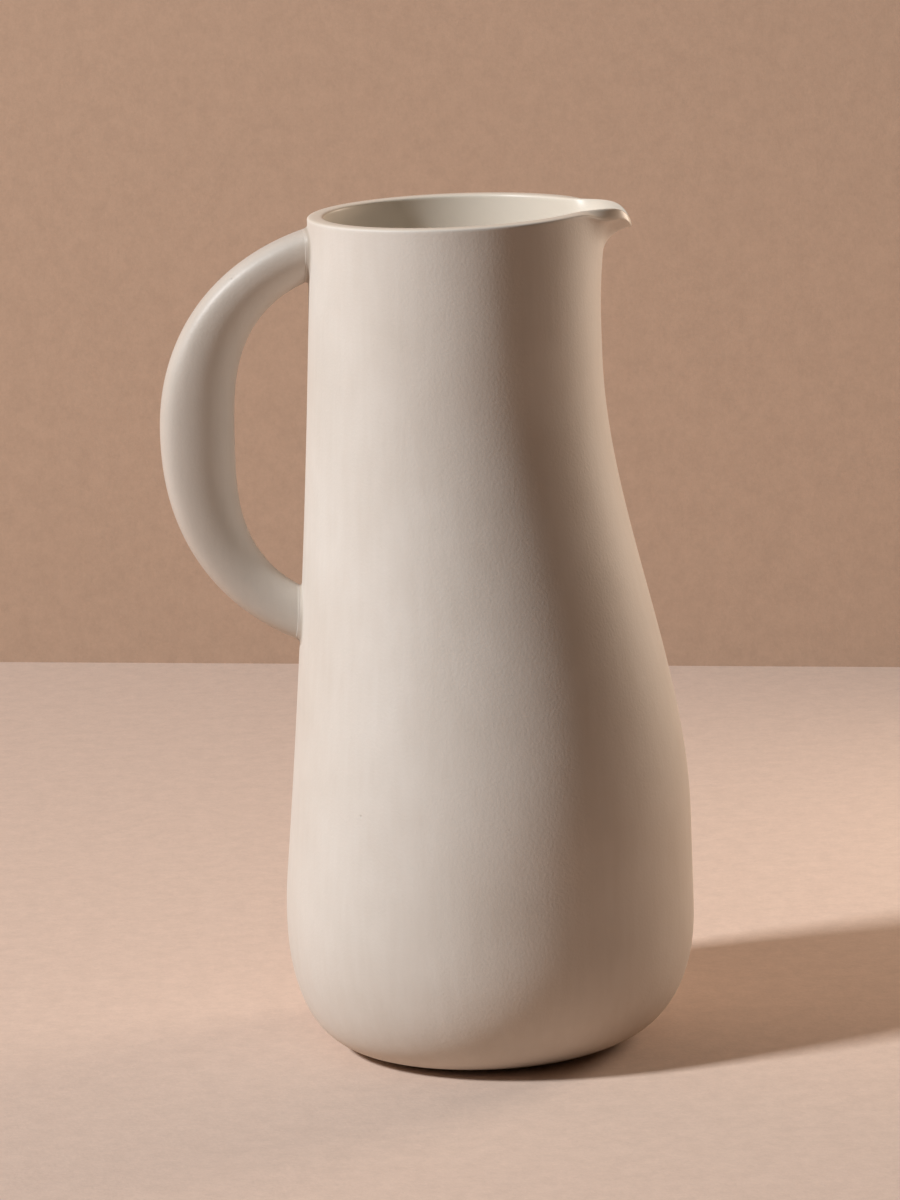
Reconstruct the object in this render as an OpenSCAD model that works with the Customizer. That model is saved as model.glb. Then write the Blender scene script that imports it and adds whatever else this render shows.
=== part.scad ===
// A tall stoneware jug with a thick loop handle and a small pulled pouring lip.
// X points from the handle to the lip and Z points up. The origin is the middle
// of the foot, on the surface that the jug stands on.

/* [Body] */
// Height from the table to the top of the rim
jug_h = 258; // [240:1:320]
// Outside diameter of the mouth
mouth_d = 87.5; // [78:0.5:100]
// How far the wall flares out to the mouth on the handle side
back_flare = 0.6; // [0:0.1:3]
// Height over which it flares
flare_l = 32; // [15:1:40]
// Length of the straight neck under the rim, on the lip side
neck_l = 43; // [30:1:70]
// Height over which the lip side swells from the neck to the belly
swell_l = 143; // [110:1:165]
// Greatest outside diameter of the belly
belly_d = 126; // [110:1:150]
// How far the belly stands forward of the mouth, towards the lip
belly_shift = 3; // [0:0.5:8]
// How far the handle side bows in from a straight line
back_bow = 1.6; // [0:0.1:4]
// Height over which the handle side turns from upright to its slope
back_turn = 14; // [5:1:60]
// Thickness of the wall
wall = 5; // [3.5:0.5:7]
// Thickness of the floor
floor_t = 6; // [4:0.5:10]
// Height of the rounded rim, as a share of half its thickness
rim_rise = 0.5; // [0.3:0.05:1]

/* [Base] */
// Diameter of the flat underside
flat_d = 76; // [54:1:86]
// Height of the rounded turn from the underside to the wall
turn_h = 39.5; // [25:0.5:50]
// Squareness of that turn, where 2 is a quarter of an ellipse
turn_power = 2.25; // [2:0.05:3]
// How far the bare foot ring lies in from the edge of the flat underside
foot_inset = 1.5; // [0.5:0.5:6]
// Width of the foot ring
foot_w = 6; // [4:0.5:10]
// How far the foot ring stands below the body
foot_h = 1; // [0.8:0.1:4]
// Bevel along both lower edges of the foot ring
foot_bevel = 0.4; // [0.2:0.1:0.7]

/* [Pouring lip] */
// How far the lip reaches out beyond the wall under it
lip_reach = 7.4; // [4:0.2:14]
// Width of the lip at half its reach
lip_w = 17.5; // [12:0.5:26]
// Height of the hollow curl under the lip
lip_curl = 7.5; // [6:0.5:14]
// How far the wall under the lip is pushed out
channel_reach = 3.6; // [0:0.2:6]
// Height of the pushed-out part below the rim
channel_l = 36; // [26:1:50]
// How far the tip hangs below the rim
lip_drop = 4.6; // [0:0.2:7]
// Thickness of the lip at its tip
lip_edge = 2.6; // [2:0.1:3.4]

/* [Handle] */
// Distance from the jug's axis to the furthest point of the handle's middle line
handle_reach = 80; // [74:1:95]
// Distance from the jug's axis to the middle of the loop that the line follows
loop_x = 16; // [10:1:22]
// Depth of the middle of that loop below the rim
loop_drop = 68; // [66:1:85]
// Half the height of that loop
loop_h = 60; // [50:1:61]
// Squareness of that loop, where 2 is an ellipse
loop_power = 2.4; // [2:0.1:3]
// Thickness of the handle halfway down
grip_t = 22.6; // [18:0.2:26]
// Thickness of the handle at its joints
joint_t = 15; // [13:0.5:18]
// Width of the handle across the jug, halfway down
grip_w = 21; // [16:0.5:26]
// Width of the handle across the jug, at its joints
joint_w = 18; // [14:0.5:22]
// How far the widest part of its section lies towards the outer face, in half thicknesses
outer_fullness = 0.3; // [0:0.05:0.4]
// Wall of the hollow handle
handle_wall = 4.5; // [3:0.5:5.5]
// Reach of the smoothed clay round each joint
luting = 1.6; // [1:0.2:4]

/* [Hidden] */

glaze_colour = "#ddd5ca";
handle_colour = "#d5cec5";
clay_colour = "#c3a98c";

mouth_r = mouth_d / 2;
belly_r = belly_d / 2;
flat_r = flat_d / 2;
foot_r = flat_r - foot_inset;
rim_z = jug_h - wall / 2;
neck_z = rim_z - neck_l;
flare_z = rim_z - flare_l;
channel_z = jug_h - channel_l;
turn_z = foot_h + turn_h;
floor_z = foot_h + floor_t;
belly_front = belly_r + belly_shift;
belly_back = belly_r - belly_shift;
loop_z = jug_h - loop_drop;

// Facets: columns of points stand round the wall, closer together at the lip
columns_n = 72;
gather = 28;
turn_steps = 9;
turn_spread = 1.3;
side_steps = 12;
channel_steps = 4;
curl_steps = 7;
rim_steps = 6;
inner_steps = 9;
columns = [for (i = [0:columns_n - 1]) let (c = 360 * i / columns_n) c - gather * sin(c)];

// A step from 0 to 1 that starts and ends gently
function ease(s) = let (c = min(max(s, 0), 1)) c * c * (3 - 2 * c);

// Distance from the axis to the wall on the lip side and on the handle side
function front(z) = mouth_r + (belly_front - mouth_r) * ease((neck_z - z) / swell_l);
function flare(z) = back_flare * (pow(max(0, (z - flare_z) / flare_l), 2) - 1);
function sloped(h) = h < back_turn ? h * h / back_turn / 2 : h - back_turn / 2;
function back(z) = let (s = sloped(z - turn_z) / sloped(rim_z - turn_z))
    belly_back + (mouth_r + flare(z) - belly_back) * s - 4 * back_bow * s * (1 - s);

// Every level section of the wall is a circle, whose middle drifts along X
function mid_x(z) = (front(z) - back(z)) / 2;
function wall_r(z) = (front(z) + back(z)) / 2;
function ring(x, r, z) = [for (t = columns) [x + r * cos(t), r * sin(t), z]];

// The turn from the flat underside, or the flat floor, up to the wall
turn_x = mid_x(turn_z);
turn_r = wall_r(turn_z);
function turn_angle(k) = 90 * pow(k / turn_steps, turn_spread);
function turn_ring(k, r, low_z) =
    let (out = pow(sin(turn_angle(k)), 2 / turn_power), up = pow(cos(turn_angle(k)), 2 / turn_power))
    ring(turn_x * out, flat_r + (r - flat_r) * out, turn_z - (turn_z - low_z) * up);

// The pouring lip: its share of the full reach at an angle round the mouth
lip_half = lip_w / mouth_r * 90 / PI;
lip_end = 78;
drop_power = 4;
rim_power = 3.5;
function lip_share(t) = pow(2, -pow((t > 180 ? t - 360 : t) / lip_half, 2));
function lip_push(a) = (1 - cos(a)) / (1 - cos(lip_end));
channel_power = 0.4;
function channel(t, z) =
    channel_reach * pow(lip_share(t), channel_power) * pow(max(0, (z - channel_z) / channel_l), 2);
function wall_at(t, z) = wall_r(z) + channel(t, z);
function curl_lean(t, a) =
    atan(lip_reach * lip_share(t) * sin(a) / (1 - cos(lip_end)) / (lip_curl * cos(a)));
function curl_t(t, a) = wall - (wall - lip_edge) * lip_share(t) * lip_push(a);
function rim_top(lean) =
    let (q = rim_power / (rim_power - 1)) pow(pow(sin(lean), q) + pow(rim_rise * cos(lean), q), 1 / q);
function edge_z(t) =
    let (lean = curl_lean(t, lip_end))
    jug_h - curl_t(t, lip_end) / 2 * (sin(lean) + rim_top(lean)) - lip_drop * pow(lip_share(t), drop_power);
function curl_z(t, a) = edge_z(t) - lip_curl * (sin(lip_end) - sin(a));
function curl_r(t, a) = wall_at(t, curl_z(t, a)) + lip_reach * lip_share(t) * lip_push(a);
function around(t, z, r, up) = [mid_x(z) + r * cos(t), r * sin(t), z + up];

// Rings of points up the outside, over the rounded rim and down the inside
function side_ring(share, inset) =
    [for (t = columns)
        let (z = turn_z + (channel_z - turn_z) * share) around(t, z, wall_at(t, z) - inset, 0)];
function channel_ring(share, inset) =
    [for (t = columns)
        let (z = channel_z + (curl_z(t, 0) - channel_z) * share) around(t, z, wall_at(t, z) - inset, 0)];
function curl_ring(a, inset_share) =
    [for (t = columns)
        let (lean = curl_lean(t, a), inset = curl_t(t, a) * inset_share)
        around(t, curl_z(t, a), curl_r(t, a) - inset * cos(lean), inset * sin(lean))];
function squared(v) = sign(v) * pow(abs(v), 2 / rim_power);
function rim_ring(v) =
    [for (t = columns)
        let (lean = curl_lean(t, lip_end), half = curl_t(t, lip_end) / 2,
             inward = 1 - squared(cos(v)), rise = rim_rise * squared(sin(v)))
        around(t, edge_z(t), curl_r(t, lip_end) - half * (inward * cos(lean) - rise * sin(lean)),
               half * (inward * sin(lean) + rise * cos(lean)))];

body_rings = [
    for (k = [0:turn_steps - 1]) turn_ring(k, turn_r, foot_h),
    for (k = [0:side_steps - 1]) side_ring(k / side_steps, 0),
    for (k = [0:channel_steps - 1]) channel_ring(k / channel_steps, 0),
    for (k = [0:curl_steps]) curl_ring(lip_end * k / curl_steps, 0),
    for (k = [1:rim_steps - 1]) rim_ring(180 * k / rim_steps),
    for (k = [curl_steps:-1:0]) curl_ring(lip_end * k / curl_steps, 1),
    for (k = [channel_steps - 1:-1:0]) channel_ring(k / channel_steps, wall),
    for (k = [inner_steps - 1:-1:0]) side_ring(k / inner_steps, wall),
    for (k = [turn_steps - 1:-1:0]) turn_ring(k, turn_r - wall, floor_z)
];

// The handle's middle line, with t as the angle round the middle of the loop
loop_w = handle_reach - loop_x;
loop_nudge = 0.5;
function loop_r(t) =
    pow(pow(abs(cos(t)) / loop_w, loop_power) + pow(abs(sin(t)) / loop_h, loop_power), -1 / loop_power);
function loop(t) = [loop_r(t) * cos(t) - loop_x, 0, loop_z + loop_r(t) * sin(t)];
function loop_way(t) = let (d = loop(t + loop_nudge) - loop(t - loop_nudge)) d / norm(d);
function loop_speed(t) = norm(loop(t + loop_nudge) - loop(t - loop_nudge)) / (2 * loop_nudge);

// Where a line that starts inside the wall at angle a, and is outside it at b, comes out
halvings = 22;
function outside(p) = norm([p.x - mid_x(p.z), p.y]) > wall_r(p.z);
function line_exit(a, b, n) =
    let (m = (a + b) / 2) n == 0 ? m : outside(loop(m)) ? line_exit(a, m, n - 1) : line_exit(m, b, n - 1);
upper_in = 90;
lower_in = 270;
loop_far = 180;
upper_t = line_exit(upper_in, loop_far, halvings);
lower_t = line_exit(lower_in, loop_far, halvings);

// The handle's section: an egg that is fuller on its outer face, and thickest halfway down
swell_power = 2.5;
section_power = 2.2;
function swell(t) = pow(sin(180 * min(max((t - upper_t) / (lower_t - upper_t), 0), 1)), swell_power);
function oval(v) = sign(v) * pow(abs(v), 2 / section_power);
function skin(t, f, inset) =
    let (way = loop_way(t), half_t = (joint_t + (grip_t - joint_t) * swell(t)) / 2 - inset,
         half_w = (joint_w + (grip_w - joint_w) * swell(t)) / 2 - inset,
         out = oval(cos(f)) + outer_fullness * pow(oval(sin(f)), 2))
    loop(t) + half_t * out * [way.z, 0, -way.x] + half_w * oval(sin(f)) * [0, 1, 0];
function skin_exit(a, b, f, inset, n) =
    let (m = (a + b) / 2)
    n == 0 ? m
    : outside(skin(m, f, inset)) ? skin_exit(a, m, f, inset, n - 1) : skin_exit(m, b, f, inset, n - 1);

section_n = 32;
section_angles = [for (i = [0:section_n - 1]) 360 * i / section_n];
handle_steps = 34;
bore_steps = 20;
function exits(start, inset) = [for (f = section_angles) skin_exit(start, loop_far, f, inset, halvings)];
upper_exits = exits(upper_in, 0);
lower_exits = exits(lower_in, 0);
upper_bore = exits(upper_in, handle_wall);
lower_bore = exits(lower_in, handle_wall);
function handle_ring(from, to, share, inset) =
    [for (i = [0:section_n - 1])
        skin(from[i] + (to[i] - from[i]) * share, section_angles[i], inset)];
handle_rings = [
    for (k = [0:handle_steps]) handle_ring(upper_exits, lower_exits, k / handle_steps, 0),
    for (k = [bore_steps:-1:0]) handle_ring(upper_bore, lower_bore, k / bore_steps, handle_wall)
];

// Smoothed clay in the corner between the handle and the wall, one slice for each angle
fillet_steps = 5;
function on_wall(p) =
    let (z = min(p.z, rim_z)) [mid_x(z) - sqrt(pow(wall_r(z), 2) - pow(p.y, 2)), p.y, z];
function fillet_slice(t, f, way) =
    let (corner = skin(t, f, 0), spread = corner - loop(t),
         high = skin(t + way * luting / loop_speed(t), f, 0),
         low = on_wall(corner + luting * spread / norm(spread)))
    [corner, for (k = [0:fillet_steps]) let (s = k / fillet_steps)
        (1 - s) * (1 - s) * high + 2 * s * (1 - s) * corner + s * s * low];
function fillet(exit_angles, way) =
    [for (i = [0:section_n - 1]) fillet_slice(exit_angles[i], section_angles[i], way)];

// Triangles between rings of points; a looped shape joins its last ring to its first
function joined(rings) = [for (r = rings) each r];
function strips(count, n, looped) =
    [for (j = [0:count - (looped ? 1 : 2)]) for (i = [0:n - 1])
        let (a = j * n + i, b = j * n + (i + 1) % n,
             c = (j + 1) % count * n + i, d = (j + 1) % count * n + (i + 1) % n)
        each [[a, c, b], [b, c, d]]];

module looped_shape(rings) {
    polyhedron(joined(rings), strips(len(rings), len(rings[0]), true), convexity = 8);
}

module capped_shape(rings, first_middle, last_middle) {
    n = len(rings[0]);
    count = len(rings);
    first = count * n;
    points = concat(joined(rings), [first_middle, last_middle]);
    first_cap = [for (i = [0:n - 1]) [first, i, (i + 1) % n]];
    last_cap = [for (i = [0:n - 1]) [first + 1, first - n + (i + 1) % n, first - n + i]];
    polyhedron(points, concat(strips(count, n, false), first_cap, last_cap), convexity = 8);
}

// Cast body: floor, wall, rounded rim and pulled lip in one piece of clay
module body() {
    color(glaze_colour) capped_shape(body_rings, [0, 0, foot_h], [0, 0, floor_z]);
}

// Ring of bare clay under the body, wiped clean of glaze
module foot_ring() {
    inner_r = foot_r - foot_w;
    color(clay_colour) rotate_extrude($fn = 96) polygon([
        [inner_r + foot_bevel, 0], [foot_r - foot_bevel, 0], [foot_r, foot_bevel],
        [foot_r, foot_h], [inner_r, foot_h], [inner_r, foot_bevel]
    ]);
}

// Hollow cast handle, whose open ends are cut to the curve of the wall
module handle() {
    color(handle_colour) looped_shape(handle_rings);
}

// Clay smoothed round the handle's upper joint
module upper_luting() {
    color(handle_colour) looped_shape(fillet(upper_exits, 1));
}

// Clay smoothed round the handle's lower joint
module lower_luting() {
    slices = fillet(lower_exits, -1);
    color(handle_colour) looped_shape([for (slice = slices) [for (k = [len(slice) - 1:-1:0]) slice[k]]]);
}

body();
foot_ring();
handle();
upper_luting();
lower_luting();
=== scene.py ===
"""A tall stoneware jug with a thick loop handle and a small pulled pouring lip."""

import math

import bmesh
import bpy
from bpy.props import FloatProperty, FloatVectorProperty, PointerProperty
from mathutils import Euler, Matrix, Vector


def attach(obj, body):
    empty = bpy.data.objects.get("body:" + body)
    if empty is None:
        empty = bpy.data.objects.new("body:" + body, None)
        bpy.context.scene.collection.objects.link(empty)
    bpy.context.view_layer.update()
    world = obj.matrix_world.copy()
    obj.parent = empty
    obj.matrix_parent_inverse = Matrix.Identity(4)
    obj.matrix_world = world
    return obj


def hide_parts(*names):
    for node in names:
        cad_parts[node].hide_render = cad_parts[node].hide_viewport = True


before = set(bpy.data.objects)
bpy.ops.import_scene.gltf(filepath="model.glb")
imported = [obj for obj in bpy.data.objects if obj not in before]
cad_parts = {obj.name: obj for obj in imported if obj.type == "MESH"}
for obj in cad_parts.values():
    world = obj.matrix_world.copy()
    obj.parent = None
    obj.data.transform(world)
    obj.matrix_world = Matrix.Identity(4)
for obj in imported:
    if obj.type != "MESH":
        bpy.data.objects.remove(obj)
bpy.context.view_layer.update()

bl_info = {
    "name": "Stoneware Jug",
    "version": (1, 0, 0),
    "blender": (4, 5, 0),
    "location": "3D View > Sidebar > Jug",
    "description": "Builds a stoneware jug with a loop handle, its glazes and a plain studio",
    "category": "Add Mesh",
}

BODY = "root"


# ---------------------------------------------------------------- what a user would change

def length(name, description, default):
    """A size in metres, as a property."""
    return FloatProperty(name=name, description=description, default=default, unit="LENGTH",
                         precision=4)


def colour(name, description, hex_text):
    """A colour picked as an sRGB hex value, as a property."""
    return FloatVectorProperty(name=name, description=description, default=linear(hex_text),
                               subtype="COLOR", size=4, min=0, max=1)


def linear(hex_text):
    """The linear colour of an sRGB hex value."""
    parts = [int(hex_text[i:i + 2], 16) / 255 for i in (1, 3, 5)]
    return tuple(p / 12.92 if p <= 0.04045 else ((p + 0.055) / 1.055) ** 2.4 for p in parts) + (1,)


class JugSizes(bpy.types.PropertyGroup):
    """Sizes of the thrown body, its foot and its pulled lip."""
    jug_h: length("Height", "From the table to the top of the rim", 0.258)
    mouth_d: length("Mouth", "Outside diameter of the mouth", 0.0875)
    back_flare: length("Back flare", "How far the wall flares out to the mouth on the handle side",
                       0.0006)
    flare_l: length("Flare height", "Height over which it flares", 0.032)
    neck_l: length("Neck", "Length of the straight neck under the rim, on the lip side", 0.043)
    swell_l: length("Swell", "Height over which the lip side swells from the neck to the belly",
                    0.143)
    belly_d: length("Belly", "Greatest outside diameter of the belly", 0.126)
    belly_shift: length("Belly shift", "How far the belly stands forward of the mouth", 0.003)
    back_bow: length("Back bow", "How far the handle side bows in from a straight line", 0.0016)
    back_turn: length("Back turn", "Height over which the handle side turns to its slope", 0.014)
    wall: length("Wall", "Thickness of the wall", 0.005)
    floor_t: length("Floor", "Thickness of the floor", 0.006)
    rim_rise: FloatProperty(name="Rim rise", default=0.5,
                            description="Height of the round, as a share of half its thickness")
    flat_d: length("Flat underside", "Diameter of the flat underside", 0.076)
    turn_h: length("Base turn", "Height of the rounded turn from the underside to the wall", 0.0395)
    turn_power: FloatProperty(name="Base squareness", default=2.25,
                              description="2 is a quarter of an ellipse")
    foot_inset: length("Foot inset", "How far the foot ring lies in from the flat underside's edge",
                       0.0015)
    foot_w: length("Foot width", "Width of the bare foot ring", 0.006)
    foot_h: length("Foot height", "How far the foot ring stands below the body", 0.001)
    foot_bevel: length("Foot rounding", "Rounding of the foot ring's lower edges", 0.0004)
    lip_reach: length("Lip reach", "How far the lip reaches beyond the wall under it", 0.0074)
    lip_w: length("Lip width", "Width of the lip at half its reach", 0.0175)
    lip_curl: length("Lip curl", "Height of the hollow curl under the lip", 0.0075)
    lip_drop: length("Lip drop", "How far the tip hangs below the rim", 0.0046)
    lip_edge: length("Lip edge", "Thickness of the lip at its tip", 0.0026)
    channel_reach: length("Channel", "How far the wall under the lip is pushed out", 0.0036)
    channel_l: length("Channel height", "Height of the pushed-out part below the rim", 0.036)


class HandleSizes(bpy.types.PropertyGroup):
    """Sizes of the loop handle and of the clay smoothed round its joints."""
    reach: length("Reach", "From the jug's axis to the furthest point of the middle line", 0.080)
    loop_x: length("Loop middle", "From the jug's axis to the middle of the loop", 0.016)
    loop_drop: length("Loop depth", "Depth of the middle of the loop below the rim", 0.068)
    loop_h: length("Loop half height", "Half the height of the loop", 0.060)
    loop_power: FloatProperty(name="Loop squareness", description="2 is an ellipse", default=2.4)
    grip_t: length("Grip thickness", "Thickness of the handle halfway down", 0.0226)
    joint_t: length("Joint thickness", "Thickness of the handle at its joints", 0.015)
    grip_w: length("Grip width", "Width across the jug, halfway down", 0.021)
    joint_w: length("Joint width", "Width across the jug, at its joints", 0.018)
    fullness: FloatProperty(name="Outer fullness", default=0.3,
                            description="How far the widest part lies out, in half thicknesses")
    buried: FloatProperty(name="Buried part", default=2.5,
                          description="How far the ends run on into the wall, in degrees")
    luting: length("Smoothed clay", "Reach of the smoothed clay round each joint", 0.0016)


class JugColours(bpy.types.PropertyGroup):
    """Colours of the glaze, the clay and the studio."""
    glaze: colour("Glaze", "Warm off-white of the matt glaze", "#e9e5df")
    glaze_shade: colour("Glaze shade", "Slightly darker tone where the glaze lies thinner",
                        "#d9d2c9")
    # Lighter than the outside glaze: partly the thicker satin glaze, partly painted light on the
    # rim's top
    inside: colour("Inside", "The same glaze on the rim and inside, where it lies thicker",
                   "#eee5d7")
    clay: colour("Clay", "Fired stoneware without glaze", "#c3a98c")
    # Painted shade: the handle's two tones are the body's glaze drawn greyer, as for a handle in
    # shade
    handle_glaze: colour("Handle glaze", "The same glaze, a little greyer", "#d8d1c9")
    handle_shade: colour("Handle shade", "Where it lies thinner", "#cac2b8")
    # Painted shade: a darker colour for the corner of each joint, where shade falls
    crease_shade: colour("Crease", "Glaze that pooled in the corner of a joint", "#a39788")
    floor: colour("Table", "Plain table top", "#dcc7b9")
    backdrop: colour("Wall", "Plain wall behind the table", "#c5a892")


# ---------------------------------------------------------------- nodes

def add(tree, kind, *values, out=0, named=None, **settings):
    """Add one node, set it up and feed its inputs in order or by name. Gives one of its outputs.

    Only inputs and outputs that the node's settings switch on are counted.
    """
    node = tree.nodes.new(kind)
    for name, value in settings.items():
        setattr(node, name, value)
    inputs = [s for s in node.inputs if s.enabled]
    pairs = list(zip(inputs, values))
    pairs += [(node.inputs[name], value) for name, value in (named or {}).items()]
    for socket, value in pairs:
        if isinstance(value, bpy.types.NodeSocket):
            tree.links.new(value, socket)
        elif value is not None:
            socket.default_value = value
    outputs = [s for s in node.outputs if s.enabled]
    return outputs[out] if outputs else None


MATH = "ShaderNodeMath"


def new_tree(name, inputs, outputs):
    """A Geometry Nodes tree with named inputs and outputs. Gives it and its inputs by name."""
    tree = bpy.data.node_groups.new(name, "GeometryNodeTree")
    for label, kind in inputs.items():
        tree.interface.new_socket(name=label, in_out="INPUT", socket_type=kind)
    for label, kind in outputs.items():
        tree.interface.new_socket(name=label, in_out="OUTPUT", socket_type=kind)
    source = tree.nodes.new("NodeGroupInput")
    return tree, {label: source.outputs[label] for label in inputs}


def finish_tree(tree, **results):
    """Feed the tree's outputs, whose names are given with underscores for spaces."""
    end = tree.nodes.new("NodeGroupOutput")
    for label, socket in results.items():
        tree.links.new(socket, end.inputs[label.replace("_", " ")])


def run_tree(tree, name, mesh, values):
    """Run a tree on a mesh with its inputs set. Gives a plain object at the origin."""
    maker = bpy.data.objects.new(name + "_maker", mesh)
    bpy.context.scene.collection.objects.link(maker)
    modifier = maker.modifiers.new(tree.name, "NODES")
    modifier.node_group = tree
    for item in tree.interface.items_tree:
        if item.in_out == "INPUT" and item.name in values:
            modifier[item.identifier] = values[item.name]
    graph = bpy.context.evaluated_depsgraph_get()
    made = bpy.data.meshes.new_from_object(maker.evaluated_get(graph), depsgraph=graph)
    made.name = name
    piece = bpy.data.objects.new(name, made)
    bpy.context.scene.collection.objects.link(piece)
    maker.modifiers.remove(modifier)
    bpy.data.objects.remove(maker)
    check_outward(piece)
    return piece


def check_outward(piece):
    """Stop if a piece isn't closed or its faces point inwards."""
    shell = bmesh.new()
    shell.from_mesh(piece.data)
    open_edges = sum(1 for edge in shell.edges if len(edge.link_faces) != 2)
    volume = shell.calc_volume(signed=True)
    shell.free()
    if open_edges or volume <= 0:
        raise RuntimeError(f"{piece.name}: {open_edges} open edges, volume {volume * 1e6:.1f} ml")


# ---------------------------------------------------------------- the shape of the wall

class Wall:
    """The jug's wall: level circles whose middle drifts between its handle side and lip side."""

    def __init__(self, s):
        self.mouth_r = s.mouth_d / 2
        self.flat_r = s.flat_d / 2
        self.rim_z = s.jug_h - s.wall / 2
        self.neck_z = self.rim_z - s.neck_l
        self.flare_z = self.rim_z - s.flare_l
        self.channel_z = s.jug_h - s.channel_l
        self.turn_z = s.foot_h + s.turn_h
        self.floor_z = s.foot_h + s.floor_t
        self.belly_front = s.belly_d / 2 + s.belly_shift
        self.belly_back = s.belly_d / 2 - s.belly_shift
        self.sizes = s

    def sloped(self, h):
        """Height above the turn of the base, with the first part of it rounded."""
        turn = self.sizes.back_turn
        return h * h / turn / 2 if h < turn else h - turn / 2

    def front(self, z):
        """How far the lip side stands from the axis."""
        share = min(max((self.neck_z - z) / self.sizes.swell_l, 0), 1)
        return self.mouth_r + (self.belly_front - self.mouth_r) * share * share * (3 - 2 * share)

    def back(self, z):
        """How far the handle side stands from the axis."""
        s = self.sizes
        share = self.sloped(z - self.turn_z) / self.sloped(self.rim_z - self.turn_z)
        flare = s.back_flare * (max(0, (z - self.flare_z) / s.flare_l) ** 2 - 1)
        return (self.belly_back + (self.mouth_r + flare - self.belly_back) * share
                - 4 * s.back_bow * share * (1 - share))

    def middle(self, z):
        """Where the middle of the level circle lies, along X."""
        return (self.front(z) - self.back(z)) / 2

    def radius(self, z):
        """Radius of the level circle."""
        return (self.front(z) + self.back(z)) / 2

    def outside(self, p):
        """Whether a point lies outside the wall."""
        return math.hypot(p[0] - self.middle(p[2]), p[1]) > self.radius(p[2])


LIP_END = math.radians(78)     # how far the wall leans out where the lip curls over
LIP_SPREAD = 0.4               # below 1 the channel under the lip is wider than the lip
LIP_HANG = 4.0                 # above 1 only the tip of the lip hangs
GATHER = math.radians(28)      # columns drawn together towards the lip
TURN_SPREAD = 1.3              # above 1 the rows of the base gather at the underside
RIM_POWER = 3.5                # 2 is a round rim, more is flatter on top
BODY_COLUMNS = 200
SATIN_RISE = 5.0               # the glaze is all satin a fifth of the way up the rim's round
# Rows of the wall's section in each of its parts
BASE_ROWS, SIDE_ROWS, CHANNEL_ROWS, CURL_ROWS, RIM_ROWS = 22, 52, 12, 14, 20
INSIDE_ROWS, FLOOR_ROWS = 30, 16

ROW_VALUES = ("height", "follow", "push", "slope", "inward", "rise", "base", "middle", "radius")


def squared(v, power):
    """A sine or cosine, changed so that the round they draw gets squarer."""
    return math.copysign(abs(v) ** (2 / power), v)


def section_rows(wall):
    """The rows of the wall's section: up the outside, over the rim and down the inside.

    Each row holds its height and how much of the rim's own height adds to it, its push and slope in
    the lip, how far it lies inward and up in half thicknesses of the wall, and its own middle and
    radius where it belongs to the base.
    """
    s = wall.sizes
    turn_x, turn_r = wall.middle(wall.turn_z), wall.radius(wall.turn_z)

    def base(steps, low_z, inset):
        """The turn of the base, from the flat part up to the wall."""
        found = []
        for k in range(steps):
            angle = math.pi / 2 * (k / steps) ** TURN_SPREAD
            out = math.sin(angle) ** (2 / s.turn_power)
            up = math.cos(angle) ** (2 / s.turn_power)
            found.append(dict(height=wall.turn_z - (wall.turn_z - low_z) * up,
                              base=1, middle=turn_x * out,
                              radius=wall.flat_r + (turn_r - inset - wall.flat_r) * out))
        return found

    def side(steps, inward):
        """The wall from the turn up to the channel."""
        return [dict(height=wall.turn_z + (wall.channel_z - wall.turn_z) * k / steps, inward=inward)
                for k in range(steps)]

    def channel(steps, inward):
        """The pushed-out wall from there up to the curl."""
        low = -s.lip_curl * math.sin(LIP_END)
        return [dict(height=wall.channel_z * (1 - k / steps) + low * k / steps, follow=k / steps,
                     inward=inward) for k in range(steps)]

    def curl(steps, inward):
        """The hollow curl that ends in the lip."""
        found = []
        whole = 1 - math.cos(LIP_END)
        for k in range(steps + 1):
            a = LIP_END * k / steps
            found.append(dict(
                height=-s.lip_curl * (math.sin(LIP_END) - math.sin(a)), follow=1, inward=inward,
                push=(1 - math.cos(a)) / whole,
                slope=s.lip_reach * math.sin(a) / whole / (s.lip_curl * math.cos(a))))
        return found

    def rim(steps):
        """The squared round of the rim."""
        end = curl(1, 0)[-1]
        turns = [math.pi * k / steps for k in range(1, steps)]
        return [dict(end, inward=1 - squared(math.cos(v), RIM_POWER),
                     rise=s.rim_rise * squared(math.sin(v), RIM_POWER)) for v in turns]

    outside = (base(BASE_ROWS, s.foot_h, 0) + side(SIDE_ROWS, 0) + channel(CHANNEL_ROWS, 0)
               + curl(CURL_ROWS, 0))
    inside = (base(FLOOR_ROWS, wall.floor_z, s.wall) + side(INSIDE_ROWS, 2)
              + channel(CHANNEL_ROWS, 2) + curl(CURL_ROWS, 2))
    return outside + rim(RIM_ROWS) + inside[::-1]


def section_mesh(rows):
    """The rows as points of a mesh, for the tree to read."""
    mesh = bpy.data.meshes.new("wall_section")
    mesh.from_pydata([(0, 0, row["height"]) for row in rows], [], [])
    for name in ROW_VALUES:
        values = mesh.attributes.new(name, "FLOAT", "POINT")
        values.data.foreach_set("value", [row.get(name, 0) for row in rows])
    return mesh


WALL_INPUTS = dict.fromkeys((
    "Height", "Mouth radius", "Belly front", "Belly back", "Neck height", "Swell", "Turn height",
    "Rim height", "Back turn", "Back bow", "Back flare", "Flare height"), "NodeSocketFloat")


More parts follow.
